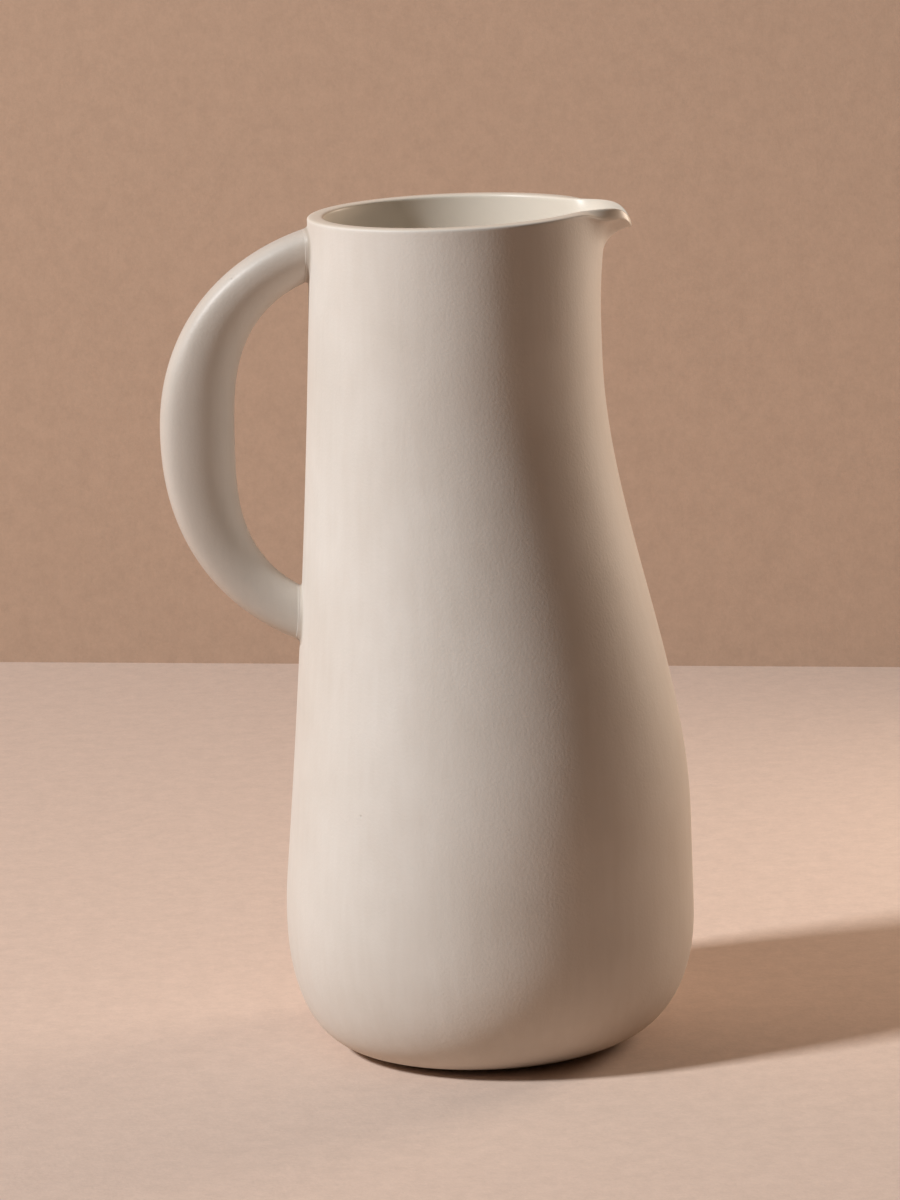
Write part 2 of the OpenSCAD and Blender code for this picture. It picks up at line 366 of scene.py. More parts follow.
def wall_tree():
    """Node group: the middle and the radius of the wall's circle at a height."""
    tree, i = new_tree("Wall circle", WALL_INPUTS,
                       {"Middle": "NodeSocketFloat", "Radius": "NodeSocketFloat"})
    z = i["Height"]
    # The lip side swells from the neck to the belly in one smooth step
    swell_end = add(tree, MATH, i["Neck height"], i["Swell"], operation="SUBTRACT")
    front = add(tree, "ShaderNodeMapRange", z, swell_end, i["Neck height"], i["Belly front"],
                i["Mouth radius"], interpolation_type="SMOOTHSTEP")
    # The handle side turns from upright to its slope, bows in a little and flares at the mouth
    shares = []
    for top in (z, i["Rim height"]):
        h = add(tree, MATH, top, i["Turn height"], operation="SUBTRACT")
        low = add(tree, MATH, h, i["Back turn"], operation="MINIMUM")
        curved = add(tree, MATH, add(tree, MATH, low, low, operation="MULTIPLY"),
                     add(tree, MATH, i["Back turn"], 2.0, operation="MULTIPLY"), operation="DIVIDE")
        shares.append(add(tree, MATH, curved, add(tree, MATH, h, low, operation="SUBTRACT"),
                          operation="ADD"))
    share = add(tree, MATH, shares[0], shares[1], operation="DIVIDE")
    flare_start = add(tree, MATH, i["Rim height"], i["Flare height"], operation="SUBTRACT")
    above = add(tree, MATH, add(tree, MATH, z, flare_start, operation="SUBTRACT"), 0.0,
                operation="MAXIMUM")
    flared = add(tree, MATH, add(tree, MATH, above, i["Flare height"], operation="DIVIDE"), 2.0,
                 operation="POWER")
    flare = add(tree, MATH, add(tree, MATH, flared, 1.0, operation="SUBTRACT"), i["Back flare"],
                operation="MULTIPLY")
    top_back = add(tree, MATH, i["Mouth radius"], flare, operation="ADD")
    straight = add(tree, "ShaderNodeMix", share, i["Belly back"], top_back, data_type="FLOAT",
                   clamp_factor=False)
    rest = add(tree, MATH, 1.0, share, operation="SUBTRACT")
    bow = add(tree, MATH, add(tree, MATH, share, rest, operation="MULTIPLY"),
              add(tree, MATH, i["Back bow"], 4.0, operation="MULTIPLY"), operation="MULTIPLY")
    back = add(tree, MATH, straight, bow, operation="SUBTRACT")
    middle = add(tree, MATH, add(tree, MATH, front, back, operation="SUBTRACT"), 2.0,
                 operation="DIVIDE")
    radius = add(tree, MATH, add(tree, MATH, front, back, operation="ADD"), 2.0, operation="DIVIDE")
    finish_tree(tree, Middle=middle, Radius=radius)
    return tree


LIP_INPUTS = dict.fromkeys((
    "Jug height", "Wall", "Lip reach", "Lip half angle", "Lip slope", "Lip drop", "Lip edge",
    "Rim rise", "Channel", "Channel start", "Channel height"), "NodeSocketFloat")


def body_tree(glaze):
    """Geometry Nodes: a closed skin of rings wrapped over the section, pulled out into a lip."""
    wall_inputs = {name: kind for name, kind in WALL_INPUTS.items() if name != "Height"}
    inputs = {"Section": "NodeSocketGeometry", "Columns": "NodeSocketInt", **wall_inputs,
              **LIP_INPUTS}
    tree, i = new_tree("Jug body", inputs, {"Geometry": "NodeSocketGeometry"})
    rows = add(tree, "GeometryNodeAttributeDomainSize", i["Section"], component="MESH")
    steps = add(tree, MATH, rows, 1.0, operation="SUBTRACT")
    tube = add(tree, "GeometryNodeMeshCylinder", i["Columns"], steps, 1, 1.0, steps,
               fill_type="TRIANGLE_FAN")

    # Each point's row in the section, its place round the jug, and 0 at the middle of either end
    spot = tree.nodes.new("ShaderNodeSeparateXYZ")
    tree.links.new(add(tree, "GeometryNodeInputPosition"), spot.inputs[0])
    x, y, z = spot.outputs
    half = add(tree, MATH, steps, 2.0, operation="DIVIDE")
    row = add(tree, MATH, add(tree, MATH, z, half, operation="ADD"), operation="ROUND")
    ring = add(tree, "ShaderNodeCombineXYZ", x, y, 0.0)
    edge_share = add(tree, "ShaderNodeVectorMath", ring, operation="LENGTH", out=0)
    column = add(tree, MATH, y, x, operation="ARCTAN2")
    bunched = add(tree, MATH, add(tree, MATH, column, operation="SINE"), GATHER,
                  operation="MULTIPLY")
    angle = add(tree, MATH, column, bunched, operation="SUBTRACT")
    value = {}
    for name in ROW_VALUES:
        field = add(tree, "GeometryNodeInputNamedAttribute", name, data_type="FLOAT")
        value[name] = add(tree, "GeometryNodeSampleIndex", i["Section"], field, row,
                          data_type="FLOAT", domain="POINT")

    # The lip's share of its full reach falls off to both sides as a bell curve
    away = add(tree, MATH, add(tree, MATH, angle, i["Lip half angle"], operation="DIVIDE"), 2.0,
               operation="POWER")
    share = add(tree, MATH, 0.5, away, operation="POWER")
    thinned = add(tree, MATH, i["Wall"], i["Lip edge"], operation="SUBTRACT")
    rim_thin = add(tree, MATH, thinned, share, operation="MULTIPLY")
    rim_t = add(tree, MATH, i["Wall"], rim_thin, operation="SUBTRACT")
    rim_lean = add(tree, MATH, add(tree, MATH, share, i["Lip slope"], operation="MULTIPLY"),
                   operation="ARCTANGENT")
    # Height of a squared round that leans over, above its own middle
    dual = RIM_POWER / (RIM_POWER - 1)
    sine = add(tree, MATH, rim_lean, operation="SINE")
    level_part = add(tree, MATH, add(tree, MATH, rim_lean, operation="COSINE"), i["Rim rise"],
                     operation="MULTIPLY")
    both = add(tree, MATH, add(tree, MATH, sine, dual, operation="POWER"),
               add(tree, MATH, level_part, dual, operation="POWER"), operation="ADD")
    rim_top = add(tree, MATH, both, 1 / dual, operation="POWER")
    rim_up = add(tree, MATH, add(tree, MATH, sine, rim_top, operation="ADD"),
                 add(tree, MATH, rim_t, 2.0, operation="DIVIDE"), operation="MULTIPLY")
    hang = add(tree, MATH, add(tree, MATH, share, LIP_HANG, operation="POWER"), i["Lip drop"],
               operation="MULTIPLY")
    rim_z = add(tree, MATH, add(tree, MATH, i["Jug height"], rim_up, operation="SUBTRACT"), hang,
                operation="SUBTRACT")
    level = add(tree, MATH, value["height"],
                add(tree, MATH, value["follow"], rim_z, operation="MULTIPLY"), operation="ADD")

    # The wall at that height, with the shallow channel that leads up into the lip
    group = tree.nodes.new("GeometryNodeGroup")
    group.node_tree = wall_tree()
    tree.links.new(level, group.inputs["Height"])
    for name in wall_inputs:
        tree.links.new(i[name], group.inputs[name])
    wide = add(tree, MATH, share, LIP_SPREAD, operation="POWER")
    raised = add(tree, MATH, add(tree, MATH, level, i["Channel start"], operation="SUBTRACT"), 0.0,
                 operation="MAXIMUM")
    risen = add(tree, MATH, add(tree, MATH, raised, i["Channel height"], operation="DIVIDE"), 2.0,
                operation="POWER")
    channel = add(tree, MATH, add(tree, MATH, wide, risen, operation="MULTIPLY"), i["Channel"],
                  operation="MULTIPLY")
    pushed = add(tree, MATH, add(tree, MATH, share, value["push"], operation="MULTIPLY"),
                 i["Lip reach"], operation="MULTIPLY")
    skin = add(tree, MATH, add(tree, MATH, group.outputs["Radius"], channel, operation="ADD"),
               pushed, operation="ADD")

    # From the outside over the round of the rim to the inside, along the lean of the wall
    lean = add(tree, MATH, add(tree, MATH, share, value["slope"], operation="MULTIPLY"),
               operation="ARCTANGENT")
    thin = add(tree, MATH, add(tree, MATH, share, value["push"], operation="MULTIPLY"), thinned,
               operation="MULTIPLY")
    half_t = add(tree, MATH, add(tree, MATH, i["Wall"], thin, operation="SUBTRACT"), 2.0,
                 operation="DIVIDE")
    c, s = (add(tree, MATH, lean, operation=kind) for kind in ("COSINE", "SINE"))
    inward = add(tree, MATH, add(tree, MATH, value["inward"], c, operation="MULTIPLY"),
                 add(tree, MATH, value["rise"], s, operation="MULTIPLY"), operation="SUBTRACT")
    upward = add(tree, MATH, add(tree, MATH, value["inward"], s, operation="MULTIPLY"),
                 add(tree, MATH, value["rise"], c, operation="MULTIPLY"), operation="ADD")
    wall_r = add(tree, MATH, skin, add(tree, MATH, half_t, inward, operation="MULTIPLY"),
                 operation="SUBTRACT")
    wall_z = add(tree, MATH, level, add(tree, MATH, half_t, upward, operation="MULTIPLY"),
                 operation="ADD")

    # Rows of the base bring their own middle and radius
    is_base = value["base"]
    middle = add(tree, "ShaderNodeMix", is_base, group.outputs["Middle"], value["middle"],
                 data_type="FLOAT")
    radius = add(tree, "ShaderNodeMix", is_base, wall_r, value["radius"], data_type="FLOAT")
    height = add(tree, "ShaderNodeMix", is_base, wall_z, value["height"], data_type="FLOAT")
    reach = add(tree, MATH, radius, edge_share, operation="MULTIPLY")
    across = add(tree, MATH, add(tree, MATH, angle, operation="COSINE"), reach,
                 operation="MULTIPLY")
    aside = add(tree, MATH, add(tree, MATH, angle, operation="SINE"), reach, operation="MULTIPLY")
    place = add(tree, "ShaderNodeCombineXYZ", add(tree, MATH, middle, across, operation="ADD"),
                aside, height)
    # The glaze is smoother from the shoulder of the rim inwards, down to the floor. There it takes
    # the lighter inside tone, which on the rim's top is partly painted light
    over = add(tree, MATH, value["inward"], SATIN_RISE, operation="MULTIPLY")
    base_inside = add(tree, MATH, add(tree, MATH, row, half, operation="GREATER_THAN"), is_base,
                      operation="MULTIPLY")
    satin = add(tree, MATH, add(tree, MATH, over, base_inside, operation="ADD"), 1.0,
                operation="MINIMUM")
    marked = add(tree, "GeometryNodeStoreNamedAttribute", tube, None, "satin", satin,
                 data_type="FLOAT", domain="POINT")
    shaped = add(tree, "GeometryNodeSetPosition", marked, None, place)
    real = add(tree, "GeometryNodeRealizeInstances",
               add(tree, "GeometryNodeSetShadeSmooth", shaped))
    finish_tree(tree, Geometry=add(tree, "GeometryNodeSetMaterial", real, None, glaze))
    return tree


def make_body(sizes, glaze):
    """The body as one skin: underside, turn, belly, neck, rim, lip, inside wall and floor."""
    wall = Wall(sizes)
    s = sizes
    values = {
        "Columns": BODY_COLUMNS, "Mouth radius": wall.mouth_r, "Belly front": wall.belly_front,
        "Belly back": wall.belly_back, "Neck height": wall.neck_z, "Swell": s.swell_l,
        "Turn height": wall.turn_z, "Rim height": wall.rim_z, "Back turn": s.back_turn,
        "Back bow": s.back_bow, "Back flare": s.back_flare, "Flare height": s.flare_l,
        "Jug height": s.jug_h, "Wall": s.wall, "Lip reach": s.lip_reach,
        "Lip half angle": s.lip_w / s.mouth_d,
        "Lip slope": s.lip_reach * math.tan(LIP_END) / (1 - math.cos(LIP_END)) / s.lip_curl,
        "Lip drop": s.lip_drop, "Lip edge": s.lip_edge, "Rim rise": s.rim_rise,
        "Channel": s.channel_reach, "Channel start": wall.channel_z, "Channel height": s.channel_l,
    }
    tree = body_tree(glaze)
    return run_tree(tree, "jug_body", section_mesh(section_rows(wall)), values)


# ---------------------------------------------------------------- foot ring

FOOT_COLUMNS, FOOT_ROUND_STEPS = 160, 6


def foot_tree(clay):
    """Geometry Nodes: a ring with rounded lower edges, swept round a circle."""
    sizes = ("Outside radius", "Width", "Height", "Rounding")
    inputs = {"Geometry": "NodeSocketGeometry", **{name: "NodeSocketFloat" for name in sizes}}
    tree, i = new_tree("Foot ring", inputs, {"Geometry": "NodeSocketGeometry"})
    half_w = add(tree, MATH, i["Width"], 2.0, operation="DIVIDE")
    half_h = add(tree, MATH, i["Height"], 2.0, operation="DIVIDE")
    middle_r = add(tree, MATH, i["Outside radius"], half_w, operation="SUBTRACT")
    path = add(tree, "GeometryNodeCurvePrimitiveCircle", FOOT_COLUMNS, middle_r, mode="RADIUS")
    section = add(tree, "GeometryNodeCurvePrimitiveQuadrilateral", i["Width"], i["Height"],
                  mode="RECTANGLE")
    rounded = add(tree, "GeometryNodeFilletCurve", section, FOOT_ROUND_STEPS, i["Rounding"],
                  mode="POLY")
    ring = add(tree, "GeometryNodeCurveToMesh", path, rounded)
    lifted = add(tree, "GeometryNodeSetPosition", ring, None, None,
                 add(tree, "ShaderNodeCombineXYZ", 0.0, 0.0, half_h))
    real = add(tree, "GeometryNodeRealizeInstances",
               add(tree, "GeometryNodeSetShadeSmooth", lifted))
    finish_tree(tree, Geometry=add(tree, "GeometryNodeSetMaterial", real, None, clay))
    return tree


def make_foot(sizes, clay):
    """The bare ring of clay that the jug stands on."""
    values = {"Outside radius": sizes.flat_d / 2 - sizes.foot_inset, "Width": sizes.foot_w,
              "Height": sizes.foot_h, "Rounding": sizes.foot_bevel}
    return run_tree(foot_tree(clay), "jug_foot", bpy.data.meshes.new("foot_start"), values)


# ---------------------------------------------------------------- handle

OVAL = 2.2                     # squareness of the handle's section, where 2 is an ellipse
SWELL = 2.5                    # above 1 the handle stays slender for longer from its joints
NUDGE = math.radians(0.5)      # step along the line that its direction is taken from
HALVINGS = 30                  # in the search for the joints
HANDLE_RINGS, HANDLE_COLUMNS = 200, 72
LUTING_COLUMNS, LUTING_STEPS = 96, 12


class Handle:
    """The loop handle: an oval section, thickest halfway down, swept along part of a round loop."""

    def __init__(self, h, wall):
        self.h = h
        self.wall = wall
        self.loop_w = h.reach - h.loop_x
        self.loop_z = wall.sizes.jug_h - h.loop_drop
        self.upper = self.exit(lambda t: self.line(t), math.pi / 2, math.pi)
        self.lower = self.exit(lambda t: self.line(t), 3 * math.pi / 2, math.pi)

    def exit(self, point, inner, outer):
        """Where a line that starts inside the wall at one angle comes out of it."""
        for _ in range(HALVINGS):
            middle = (inner + outer) / 2
            if self.wall.outside(point(middle)):
                outer = middle
            else:
                inner = middle
        return (inner + outer) / 2

    def line(self, t):
        """A point of the middle line, at an angle round the middle of the loop."""
        p = self.h.loop_power
        wide, high = abs(math.cos(t)) / self.loop_w, abs(math.sin(t)) / self.h.loop_h
        r = (wide ** p + high ** p) ** (-1 / p)
        return Vector((r * math.cos(t) - self.h.loop_x, 0, self.loop_z + r * math.sin(t)))

    def step(self, t):
        """Direction and speed of the line at an angle."""
        return (self.line(t + NUDGE) - self.line(t - NUDGE)) / (2 * NUDGE)

    def skin(self, t, f):
        """A point of the handle's skin, at an angle along the line and one round it."""
        way = self.step(t).normalized()
        share = min(max((t - self.upper) / (self.lower - self.upper), 0), 1)
        swell = math.sin(math.pi * share) ** SWELL
        half_t = (self.h.joint_t + (self.h.grip_t - self.h.joint_t) * swell) / 2
        half_w = (self.h.joint_w + (self.h.grip_w - self.h.joint_w) * swell) / 2
        c, s = (squared(v, OVAL) for v in (math.cos(f), math.sin(f)))
        out = c + self.h.fullness * s * s
        return self.line(t) + half_t * out * Vector((way.z, 0, -way.x)) + Vector((0, half_w * s, 0))


LOOP_INPUTS = dict.fromkeys((
    "Angle", "Loop width", "Loop half height", "Loop middle", "Loop level", "Loop squareness"),
    "NodeSocketFloat")


def loop_tree():
    """Node group: a point of the handle's middle line, at an angle round the middle of the loop."""
    tree, i = new_tree("Handle line", LOOP_INPUTS, {"Point": "NodeSocketVector"})
    c = add(tree, MATH, i["Angle"], operation="COSINE")
    s = add(tree, MATH, i["Angle"], operation="SINE")
    shares = []
    for part, size in ((c, i["Loop width"]), (s, i["Loop half height"])):
        plain = add(tree, MATH, add(tree, MATH, part, operation="ABSOLUTE"), size,
                    operation="DIVIDE")
        shares.append(add(tree, MATH, plain, i["Loop squareness"], operation="POWER"))
    root = add(tree, MATH, -1.0, i["Loop squareness"], operation="DIVIDE")
    r = add(tree, MATH, add(tree, MATH, shares[0], shares[1], operation="ADD"), root,
            operation="POWER")
    x = add(tree, MATH, add(tree, MATH, r, c, operation="MULTIPLY"), i["Loop middle"],
            operation="SUBTRACT")
    z = add(tree, MATH, add(tree, MATH, r, s, operation="MULTIPLY"), i["Loop level"],
            operation="ADD")
    finish_tree(tree, Point=add(tree, "ShaderNodeCombineXYZ", x, 0.0, z))
    return tree


def handle_tree(glaze):
    """Geometry Nodes: a closed tube whose rings follow the handle's line and swell to the grip."""
    line_inputs = {name: kind for name, kind in LOOP_INPUTS.items() if name != "Angle"}
    sizes = ("Upper joint", "Lower joint", "Buried", "Grip thickness", "Joint thickness",
             "Grip width", "Joint width", "Outer fullness")
    inputs = {"Geometry": "NodeSocketGeometry", "Rings": "NodeSocketInt",
              "Columns": "NodeSocketInt",
              **line_inputs, **{name: "NodeSocketFloat" for name in sizes}}
    tree, i = new_tree("Jug handle", inputs, {"Geometry": "NodeSocketGeometry"})
    tube = add(tree, "GeometryNodeMeshCylinder", i["Columns"], i["Rings"], 1, 1.0, 1.0,
               fill_type="TRIANGLE_FAN")
    spot = tree.nodes.new("ShaderNodeSeparateXYZ")
    tree.links.new(add(tree, "GeometryNodeInputPosition"), spot.inputs[0])
    x, y, z = spot.outputs
    start = add(tree, MATH, i["Upper joint"], i["Buried"], operation="SUBTRACT")
    end = add(tree, MATH, i["Lower joint"], i["Buried"], operation="ADD")
    angle = add(tree, "ShaderNodeMapRange", z, -0.5, 0.5, start, end, clamp=False)

    # The line's point, and its direction from two points close by
    line = loop_tree()
    points = []
    for nudge in (0.0, NUDGE, -NUDGE):
        group = tree.nodes.new("GeometryNodeGroup")
        group.node_tree = line
        tree.links.new(add(tree, MATH, angle, nudge, operation="ADD"), group.inputs["Angle"])
        for name in line_inputs:
            tree.links.new(i[name], group.inputs[name])
        points.append(group.outputs["Point"])
    way = add(tree, "ShaderNodeVectorMath",
              add(tree, "ShaderNodeVectorMath", points[1], points[2], operation="SUBTRACT"),
              operation="NORMALIZE")
    side = add(tree, "ShaderNodeVectorMath", (0.0, 1.0, 0.0), way, operation="CROSS_PRODUCT")

    # The swell from the joints to the grip
    share = add(tree, "ShaderNodeMapRange", angle, i["Upper joint"], i["Lower joint"], 0.0, math.pi)
    swell = add(tree, MATH, add(tree, MATH, share, operation="SINE"), SWELL, operation="POWER")
    halves = []
    for joint, grip in (("Joint thickness", "Grip thickness"), ("Joint width", "Grip width")):
        full = add(tree, "ShaderNodeMix", swell, i[joint], i[grip], data_type="FLOAT")
        halves.append(add(tree, MATH, full, 2.0, operation="DIVIDE"))
    # The egg-shaped section, fuller on its outer face
    rounds = []
    for part in (x, y):
        size = add(tree, MATH, add(tree, MATH, part, operation="ABSOLUTE"), 2 / OVAL,
                   operation="POWER")
        rounds.append(add(tree, MATH, size, add(tree, MATH, part, operation="SIGN"),
                          operation="MULTIPLY"))
    round_x, round_y = rounds
    fuller = add(tree, MATH, add(tree, MATH, round_y, round_y, operation="MULTIPLY"),
                 i["Outer fullness"], operation="MULTIPLY")
    thick = add(tree, MATH, add(tree, MATH, round_x, fuller, operation="ADD"), halves[0],
                operation="MULTIPLY")
    wide = add(tree, MATH, round_y, halves[1], operation="MULTIPLY")
    outward = add(tree, "ShaderNodeVectorMath", side, thick, operation="SCALE")
    across = add(tree, "ShaderNodeCombineXYZ", 0.0, wide, 0.0)
    place = add(tree, "ShaderNodeVectorMath", points[0],
                add(tree, "ShaderNodeVectorMath", outward, across, operation="ADD"),
                operation="ADD")
    shaped = add(tree, "GeometryNodeSetPosition", tube, None, place)
    real = add(tree, "GeometryNodeRealizeInstances",
               add(tree, "GeometryNodeSetShadeSmooth", shaped))
    finish_tree(tree, Geometry=add(tree, "GeometryNodeSetMaterial", real, None, glaze))
    return tree


def make_handle(sizes, h, glaze):
    """The loop handle, whose ends run a little way into the wall."""
    shape = Handle(h, Wall(sizes))
    values = {
        "Rings": HANDLE_RINGS, "Columns": HANDLE_COLUMNS, "Loop width": shape.loop_w,
        "Loop half height": h.loop_h, "Loop middle": h.loop_x, "Loop level": shape.loop_z,
        "Loop squareness": h.loop_power,
        "Upper joint": shape.upper, "Lower joint": shape.lower, "Buried": math.radians(h.buried),
        "Grip thickness": h.grip_t, "Joint thickness": h.joint_t, "Grip width": h.grip_w,
        "Joint width": h.joint_w, "Outer fullness": h.fullness,
    }
    return run_tree(handle_tree(glaze), "jug_handle", bpy.data.meshes.new("handle_start"), values)


def make_luting(name, sizes, h, upper, glaze):
    """Clay smoothed into the corner between the handle and the wall, all round one joint."""
    wall = Wall(sizes)
    shape = Handle(h, wall)
    inner = math.pi / 2 if upper else 3 * math.pi / 2
    toward = 1 if upper else -1
    columns, steps = LUTING_COLUMNS, LUTING_STEPS
    vertices, faces = [], []
    for column in range(columns):
        f = 2 * math.pi * column / columns
        t = shape.exit(lambda a: shape.skin(a, f), inner, math.pi)
        corner = shape.skin(t, f)
        high = shape.skin(t + toward * h.luting / shape.step(t).length, f)
        spread = corner - shape.line(t)
        low = corner + h.luting * spread.normalized()
        z = min(low.z, wall.rim_z)
        low = Vector((wall.middle(z) - math.sqrt(wall.radius(z) ** 2 - low.y ** 2), low.y, z))
        vertices.append(corner)
        for k in range(steps + 1):
            s = k / steps
            vertices.append((1 - s) ** 2 * high + 2 * s * (1 - s) * corner + s * s * low)
    ring = steps + 2
    for column in range(columns):
        for k in range(ring):
            a, b = column * ring + k, column * ring + (k + 1) % ring
            c, d = (column + 1) % columns * ring + k, (column + 1) % columns * ring + (k + 1) % ring
            faces.append((a, b, d, c) if upper else (a, c, d, b))
    mesh = bpy.data.meshes.new(name)
    mesh.from_pydata(vertices, [], faces)
    # The two hidden faces of each slice stay flat, so the seen skin is shaded by itself
    mesh.polygons.foreach_set("use_smooth",
                              [0 < n % ring < ring - 1 for n in range(len(mesh.polygons))])
    share = mesh.attributes.new("wall_share", "FLOAT", "POINT")
    share.data.foreach_set("value", [max(n % ring - 1, 0) / steps for n in range(len(vertices))])
    mesh.materials.append(glaze)
    piece = bpy.data.objects.new(name, mesh)
    bpy.context.scene.collection.objects.link(piece)
    check_outward(piece)
    return piece


# ---------------------------------------------------------------- materials

BODY_ROUGHNESS, HANDLE_ROUGHNESS, JOINT_ROUGHNESS, SATIN_ROUGHNESS = 0.58, 0.46, 0.5, 0.36
# Patterns of the glaze, in metres: soft clouds, runs drawn out upwards, cells that hold pinholes
CLOUD, RUN, RUN_FLATTENING, HOLE_CELL = 0.034, 0.003, 0.12, 0.011
CLOUD_WEIGHT, RUN_WEIGHT = 0.72, 0.28
TONE_FROM, TONE_TO = 0.22, 0.78            # values of the pattern that give the two tones
# Painted shade in the corner of each joint: how strongly its colour shows
CORNER_SHADE_STRENGTH = 0.6                               # how much of the crease's colour shows
# Pinholes: inner and outer radius in cells, share of cells without one, strength and colour
HOLE_IN, HOLE_OUT, PLAIN_CELLS = 0.02, 0.05, 0.8
HOLE_STRENGTH, HOLE_COLOUR = 0.15, linear("#958676")
# Relief of the glaze, in metres wide and high: dry grain outside, drawn coarser than the real
# 0.3 mm so that it shows, and soft waves left by the hands
GRAIN, GRAIN_H, SATIN_GRAIN_H = 0.0009, 0.00006, 0.00001
WAVE, WAVE_H, HOLE_H = 0.022, 0.00012, 0.0001


def new_material(name):
    """An empty material. Gives it, its tree and its output node."""
    material = bpy.data.materials.new(name)
    material.use_nodes = True
    tree = material.node_tree
    tree.nodes.clear()
    end = tree.nodes.new("ShaderNodeOutputMaterial")
    return material, tree, end


def matt_glaze(name, tone, shade, rough, satin=None, joins=None):
    """Matt white glaze over stoneware, dipped and fired: warm off-white, softly clouded and silky.

    It runs in faint upright streaks, with a fine dry grain and a few pinholes. satin names an
    attribute that is 1 where the glaze is smoother, and its lighter tone there, which on the rim's
    top is partly painted light. joins names one that is 1 where the piece meets the body, with the
    body's colours and the colour of the painted shade in the joint's corner.
    """
    material, tree, end = new_material(name)
    place = add(tree, "ShaderNodeTexCoord", out=3)
    if joins:
        share = add(tree, "ShaderNodeAttribute", attribute_name=joins["by"], out=2)
        tone = add(tree, "ShaderNodeMix", share, tone, joins["tone"], data_type="RGBA")
        shade = add(tree, "ShaderNodeMix", share, shade, joins["shade"], data_type="RGBA")
        # Painted shade: the middle of each joint, where shade falls in its corner, is drawn darker
        crease_shade = add(tree, MATH, add(tree, MATH, share, math.pi, operation="MULTIPLY"),
                     operation="SINE")
        corner_shade_share = add(tree, MATH, add(tree, MATH, crease_shade, 2.0, operation="POWER"), CORNER_SHADE_STRENGTH,
                     operation="MULTIPLY")
        tone, shade = (add(tree, "ShaderNodeMix", corner_shade_share, part, joins["crease_shade"], data_type="RGBA")
                       for part in (tone, shade))

    # Clouds, and runs about 3 mm by 25 mm where the glaze ran down before it dried
    cloud = add(tree, "ShaderNodeTexNoise", place,
                named={"Scale": 1 / CLOUD, "Detail": 3.0, "Roughness": 0.5})
    drawn = add(tree, "ShaderNodeMapping", place, named={"Scale": (1.0, 1.0, RUN_FLATTENING)})
    run = add(tree, "ShaderNodeTexNoise", drawn,
              named={"Scale": 1 / RUN, "Detail": 2.0, "Roughness": 0.6})
    uneven = add(tree, MATH, add(tree, MATH, cloud, CLOUD_WEIGHT, operation="MULTIPLY"),
                 add(tree, MATH, run, RUN_WEIGHT, operation="MULTIPLY"), operation="ADD")
    depth = add(tree, "ShaderNodeMapRange", uneven, TONE_FROM, TONE_TO, 0.0, 1.0)
    mottled = add(tree, "ShaderNodeMix", depth, tone, shade, data_type="RGBA")
    # Smoother glaze takes the lighter inside tone, which on the rim's top is partly painted light
    if satin:
        smooth = add(tree, "ShaderNodeAttribute", attribute_name=satin["by"], out=2)
        mottled = add(tree, "ShaderNodeMix", smooth, mottled, satin["tone"], data_type="RGBA")

    # Pinholes, in one cell out of five. Real ones are 0.3 mm wide, these 0.8 mm so that they show.
    cell = tree.nodes.new("ShaderNodeTexVoronoi")
    tree.links.new(place, cell.inputs["Vector"])
    cell.inputs["Scale"].default_value = 1 / HOLE_CELL
    hole = add(tree, "ShaderNodeMapRange", cell.outputs["Distance"], HOLE_IN, HOLE_OUT, 1.0, 0.0)
    chosen = add(tree, MATH, add(tree, "ShaderNodeSeparateColor", cell.outputs["Color"]),
                 PLAIN_CELLS, operation="GREATER_THAN")
    pit = add(tree, MATH, hole, chosen, operation="MULTIPLY")
    spotted = add(tree, "ShaderNodeMix", add(tree, MATH, pit, HOLE_STRENGTH, operation="MULTIPLY"),
                  mottled, HOLE_COLOUR, data_type="RGBA")

    # Skin: grain, waves and the dips of the pinholes
    grain = add(tree, "ShaderNodeTexNoise", place, named={"Scale": 1 / GRAIN, "Detail": 2.0})
    wave = add(tree, "ShaderNodeTexNoise", place, named={"Scale": 1 / WAVE, "Detail": 1.0})
    dry = GRAIN_H
    if satin:
        dry = add(tree, "ShaderNodeMapRange", smooth, 0.0, 1.0, dry, SATIN_GRAIN_H)
        rough = add(tree, "ShaderNodeMapRange", smooth, 0.0, 1.0, rough, SATIN_ROUGHNESS)
    height = add(tree, MATH, add(tree, MATH, grain, dry, operation="MULTIPLY"),
                 add(tree, MATH, wave, WAVE_H, operation="MULTIPLY"), operation="ADD")
    height = add(tree, MATH, height, add(tree, MATH, pit, HOLE_H, operation="MULTIPLY"),
                 operation="SUBTRACT")
    bump = add(tree, "ShaderNodeBump", named={"Strength": 1.0, "Distance": 1.0, "Height": height})
    shader = add(tree, "ShaderNodeBsdfPrincipled", named={
        "Base Color": spotted, "Roughness": rough, "IOR": 1.5, "Normal": bump})
    tree.links.new(shader, end.inputs["Surface"])
    return material


GRIT_PER_M = 1400.0                        # sandy grit of 0.7 mm in the bare clay
TOOTH_PER_M = 700.0                        # tooth of paper, drawn 1.4 mm wide, so that it shows
FIBRES, PAPER_FROM, PAPER_TO = 0.008, 0.35, 0.65
THROWN_BACK = (0.85, 0.77, 0.7, 1.0)       # share of its light that paper throws back on the jug
TABLE_FLECK = WALL_FLECK = 0.055


def bare_clay(name, colours):
    """Stoneware body without glaze, wiped and fired: dry, slightly sandy, warmer than the glaze."""
    material, tree, end = new_material(name)
    place = add(tree, "ShaderNodeTexCoord", out=3)
    grit = add(tree, "ShaderNodeTexNoise", place, named={"Scale": GRIT_PER_M, "Detail": 2.0})
    bump = add(tree, "ShaderNodeBump", named={"Strength": 0.4, "Distance": 0.0003, "Height": grit})
    shader = add(tree, "ShaderNodeBsdfPrincipled", named={
        "Base Color": colours.clay, "Roughness": 0.85, "Normal": bump})
    tree.links.new(shader, end.inputs["Surface"])
    return material


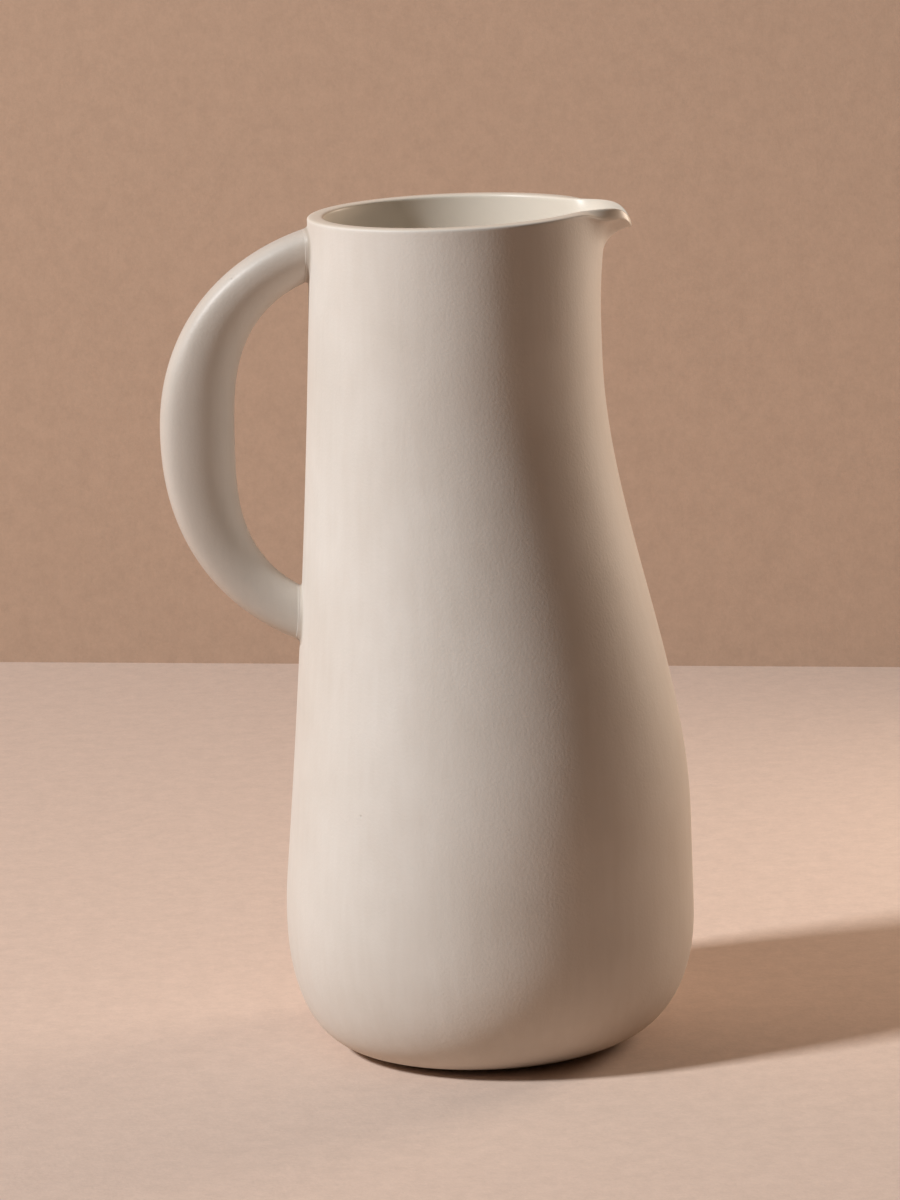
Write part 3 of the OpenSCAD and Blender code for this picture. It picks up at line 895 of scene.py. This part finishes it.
def sheet_paper(name, tint, fleck, one_sided=False):
    """Coloured drawing paper, rolled flat: quite matt, with a fine tooth.

    Its fibres leave patches of 0.5 mm to 8 mm that are lighter or darker by up to the share fleck.
    One-sided paper is not seen from behind, so it hides nothing from a camera there.
    """
    material, tree, end = new_material(name)
    place = add(tree, "ShaderNodeTexCoord", out=3)
    fibres = add(tree, "ShaderNodeTexNoise", place, named={
        "Scale": 1 / FIBRES, "Detail": 4.0, "Roughness": 0.95})
    light, dark = ((*(part * share for part in tint[:3]), 1.0) for share in (1 + fleck, 1 - fleck))
    patchy = add(tree, "ShaderNodeMapRange", fibres, PAPER_FROM, PAPER_TO, 0.0, 1.0)
    tinted = add(tree, "ShaderNodeMix", patchy, light, dark, data_type="RGBA")
    # The light that it throws back is weaker and warmer, as from a sheet of limited size
    seen = add(tree, "ShaderNodeLightPath", out=0)
    thrown = add(tree, "ShaderNodeMix", 1.0, tinted, THROWN_BACK, data_type="RGBA",
                 blend_type="MULTIPLY")
    tinted = add(tree, "ShaderNodeMix", seen, thrown, tinted, data_type="RGBA")
    tooth = add(tree, "ShaderNodeTexNoise", place, named={"Scale": TOOTH_PER_M, "Detail": 2.0})
    bump = add(tree, "ShaderNodeBump",
               named={"Strength": 0.15, "Distance": 0.0005, "Height": tooth})
    shader = add(tree, "ShaderNodeBsdfPrincipled", named={
        "Base Color": tinted, "Roughness": 0.9, "Specular IOR Level": 0.2, "Normal": bump})
    if one_sided:
        behind = add(tree, "ShaderNodeNewGeometry", out=6)
        both = add(tree, MATH, behind, seen, operation="MULTIPLY")
        shader = add(tree, "ShaderNodeMixShader", both, shader,
                     add(tree, "ShaderNodeBsdfTransparent"))
    tree.links.new(shader, end.inputs["Surface"])
    return material


def find_or_make(name, maker, *values):
    """A material by name, made on first use."""
    return bpy.data.materials.get(name) or maker(name, *values)


# ---------------------------------------------------------------- operators

class JUG_OT_body(bpy.types.Operator):
    """Build the glazed body with its rim and pulled lip"""
    bl_idname = "jug.body"
    bl_label = "Body"

    def execute(self, context):
        colours = context.scene.jug_colours
        satin = {"by": "satin", "tone": colours.inside}
        glaze = find_or_make("matt_white_glaze", matt_glaze, colours.glaze, colours.glaze_shade,
                             BODY_ROUGHNESS, satin)
        piece = make_body(context.scene.jug_sizes, glaze)
        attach(piece, BODY)
        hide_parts("body")
        return {"FINISHED"}


class JUG_OT_foot(bpy.types.Operator):
    """Build the bare foot ring"""
    bl_idname = "jug.foot"
    bl_label = "Foot ring"

    def execute(self, context):
        clay = find_or_make("bare_stoneware", bare_clay, context.scene.jug_colours)
        piece = make_foot(context.scene.jug_sizes, clay)
        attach(piece, BODY)
        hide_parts("foot_ring")
        return {"FINISHED"}


class JUG_OT_handle(bpy.types.Operator):
    """Build the loop handle"""
    bl_idname = "jug.handle"
    bl_label = "Handle"

    def execute(self, context):
        scene = context.scene
        c = scene.jug_colours
        # The handle's glaze is the body's, drawn greyer as painted shade
        glaze = find_or_make("matt_handle_glaze", matt_glaze, c.handle_glaze, c.handle_shade,
                             HANDLE_ROUGHNESS)
        piece = make_handle(scene.jug_sizes, scene.jug_handle, glaze)
        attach(piece, BODY)
        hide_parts("handle")
        return {"FINISHED"}


class JUG_OT_lutings(bpy.types.Operator):
    """Build the clay smoothed round the handle's two joints"""
    bl_idname = "jug.lutings"
    bl_label = "Smoothed clay"

    def execute(self, context):
        scene = context.scene
        c = scene.jug_colours
        # Each joint is darkened in its corner with painted shade
        joins = {"by": "wall_share", "tone": c.glaze, "shade": c.glaze_shade, "crease_shade": c.crease_shade}
        glaze = find_or_make("matt_joint_glaze", matt_glaze, c.handle_glaze, c.handle_shade,
                             JOINT_ROUGHNESS, None, joins)
        for node, upper in (("upper_luting", True), ("lower_luting", False)):
            piece = make_luting("jug_" + node, scene.jug_sizes, scene.jug_handle, upper, glaze)
            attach(piece, BODY)
            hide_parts(node)
        return {"FINISHED"}


class JUG_OT_stage(bpy.types.Operator):
    """Build the plain floor and backdrop, the lights and the camera"""
    bl_idname = "jug.stage"
    bl_label = "Stage"

    def execute(self, context):
        make_floor(context)
        make_lights(context)
        make_camera(context)
        return {"FINISHED"}


WALL_Y, WALL_TURN = 0.526, math.radians(-12.6)    # behind the jug, turned about the jug's axis
WALL_TOP, HALF_SIDE = 3.0, 4.0
TARGET = (0, 0, 0.13)                             # what the lamps look at
# Name, azimuth from the camera's side, elevation, distance, size, spread, power and tint.
# Angles are in degrees, lengths in metres and power in watts.
LAMPS = (("window", -69, 39, 3.5, 0.42, 180, 117, (1.0, 1.0, 1.0)),
         ("reflector", 123, 14, 0.6, 0.24, 120, 0.85, (1.0, 0.82, 0.66)))
ROOM_TINT, ROOM_STRENGTH = (1.0, 0.86, 0.74, 1.0), 0.003
FOCAL_PX, PHOTO_PX, SENSOR = 4974.9, 1200, 36     # along the photograph's longer side, and in mm
CAMERA_AT = (-0.00547, -1.4915, 0.4439)
CAMERA_DOWN, CAMERA_ROLL = 11.58, -2.412          # in degrees


def make_floor(context):
    """A plain table top and a plain wall behind it, which meet in one straight line."""
    colours = context.scene.jug_colours
    paper = find_or_make("table_paper", sheet_paper, colours.floor, TABLE_FLECK)
    backing = find_or_make("wall_paper", sheet_paper, colours.backdrop, WALL_FLECK, True)
    turn = Matrix.Rotation(WALL_TURN, 4, "Z")
    w, y, top = HALF_SIDE, WALL_Y, WALL_TOP
    for name, material, corners in (
            ("table_top", paper, [(-w, -w, 0), (w, -w, 0), (w, w, 0), (-w, w, 0)]),
            ("back_wall", backing, [(-w, y, 0), (w, y, 0), (w, y, top), (-w, y, top)])):
        mesh = bpy.data.meshes.new(name)
        mesh.from_pydata([turn @ Vector(corner) for corner in corners], [], [(0, 1, 2, 3)])
        mesh.materials.append(material)
        sheet = bpy.data.objects.new(name, mesh)
        context.scene.collection.objects.link(sheet)


def make_lights(context):
    """A soft window light on the left, a warm reflector on the right and a weak even light."""
    for name, azimuth, elevation, distance, size, spread, power, tint in LAMPS:
        lamp = bpy.data.lights.new(name, "AREA")
        lamp.size = size
        lamp.spread = math.radians(spread)
        lamp.energy = power
        lamp.color = tint
        holder = bpy.data.objects.new(name, lamp)
        turn, lift = math.radians(azimuth), math.radians(elevation)
        level = math.cos(lift)
        away = Vector((math.sin(turn) * level, -math.cos(turn) * level, math.sin(lift)))
        holder.location = Vector(TARGET) + distance * away
        holder.rotation_euler = away.to_track_quat("Z", "Y").to_euler()
        holder.visible_camera = False
        context.scene.collection.objects.link(holder)
    world = bpy.data.worlds.new("soft_room")
    world.use_nodes = True
    tree = world.node_tree
    tree.nodes.clear()
    end = tree.nodes.new("ShaderNodeOutputWorld")
    tree.links.new(add(tree, "ShaderNodeBackground", ROOM_TINT, ROOM_STRENGTH),
                   end.inputs["Surface"])
    context.scene.world = world
    context.scene.view_settings.view_transform = "Standard"


def make_camera(context):
    """The photograph's view: slightly above the rim, and turned a touch about its own axis."""
    lens = bpy.data.cameras.new("camera")
    lens.sensor_fit = "AUTO"
    lens.sensor_width = SENSOR
    lens.lens = FOCAL_PX / PHOTO_PX * SENSOR
    lens.clip_end = 50
    camera = bpy.data.objects.new("camera", lens)
    camera.location = CAMERA_AT
    tilt = Euler((math.radians(90 - CAMERA_DOWN), 0, 0)).to_matrix().to_4x4()
    camera.rotation_euler = (tilt @ Matrix.Rotation(math.radians(CAMERA_ROLL), 4, "Z")).to_euler()
    context.scene.collection.objects.link(camera)
    context.scene.camera = camera


class JUG_PT_panel(bpy.types.Panel):
    """Lists the jug's pieces and the values that shape them"""
    bl_idname = "JUG_PT_panel"
    bl_label = "Stoneware Jug"
    bl_space_type = "VIEW_3D"
    bl_region_type = "UI"
    bl_category = "Jug"

    def draw(self, context):
        column = self.layout.column()
        for operator in ("jug.body", "jug.foot", "jug.handle", "jug.lutings", "jug.stage"):
            column.operator(operator)
        for group in (context.scene.jug_sizes, context.scene.jug_handle, context.scene.jug_colours):
            box = self.layout.box()
            for name in group.__annotations__:
                box.prop(group, name)


CLASSES = (JugSizes, HandleSizes, JugColours, JUG_OT_body, JUG_OT_foot, JUG_OT_handle,
           JUG_OT_lutings, JUG_OT_stage, JUG_PT_panel)


def register():
    for cls in CLASSES:
        bpy.utils.register_class(cls)
    bpy.types.Scene.jug_sizes = PointerProperty(type=JugSizes)
    bpy.types.Scene.jug_handle = PointerProperty(type=HandleSizes)
    bpy.types.Scene.jug_colours = PointerProperty(type=JugColours)


def unregister():
    for name in ("jug_colours", "jug_handle", "jug_sizes"):
        delattr(bpy.types.Scene, name)
    for cls in reversed(CLASSES):
        bpy.utils.unregister_class(cls)


def main():
    """Build every piece and the stage."""
    register()
    bpy.ops.jug.body()
    bpy.ops.jug.foot()
    bpy.ops.jug.handle()
    bpy.ops.jug.lutings()
    bpy.ops.jug.stage()


if __name__ == "__main__":
    main()
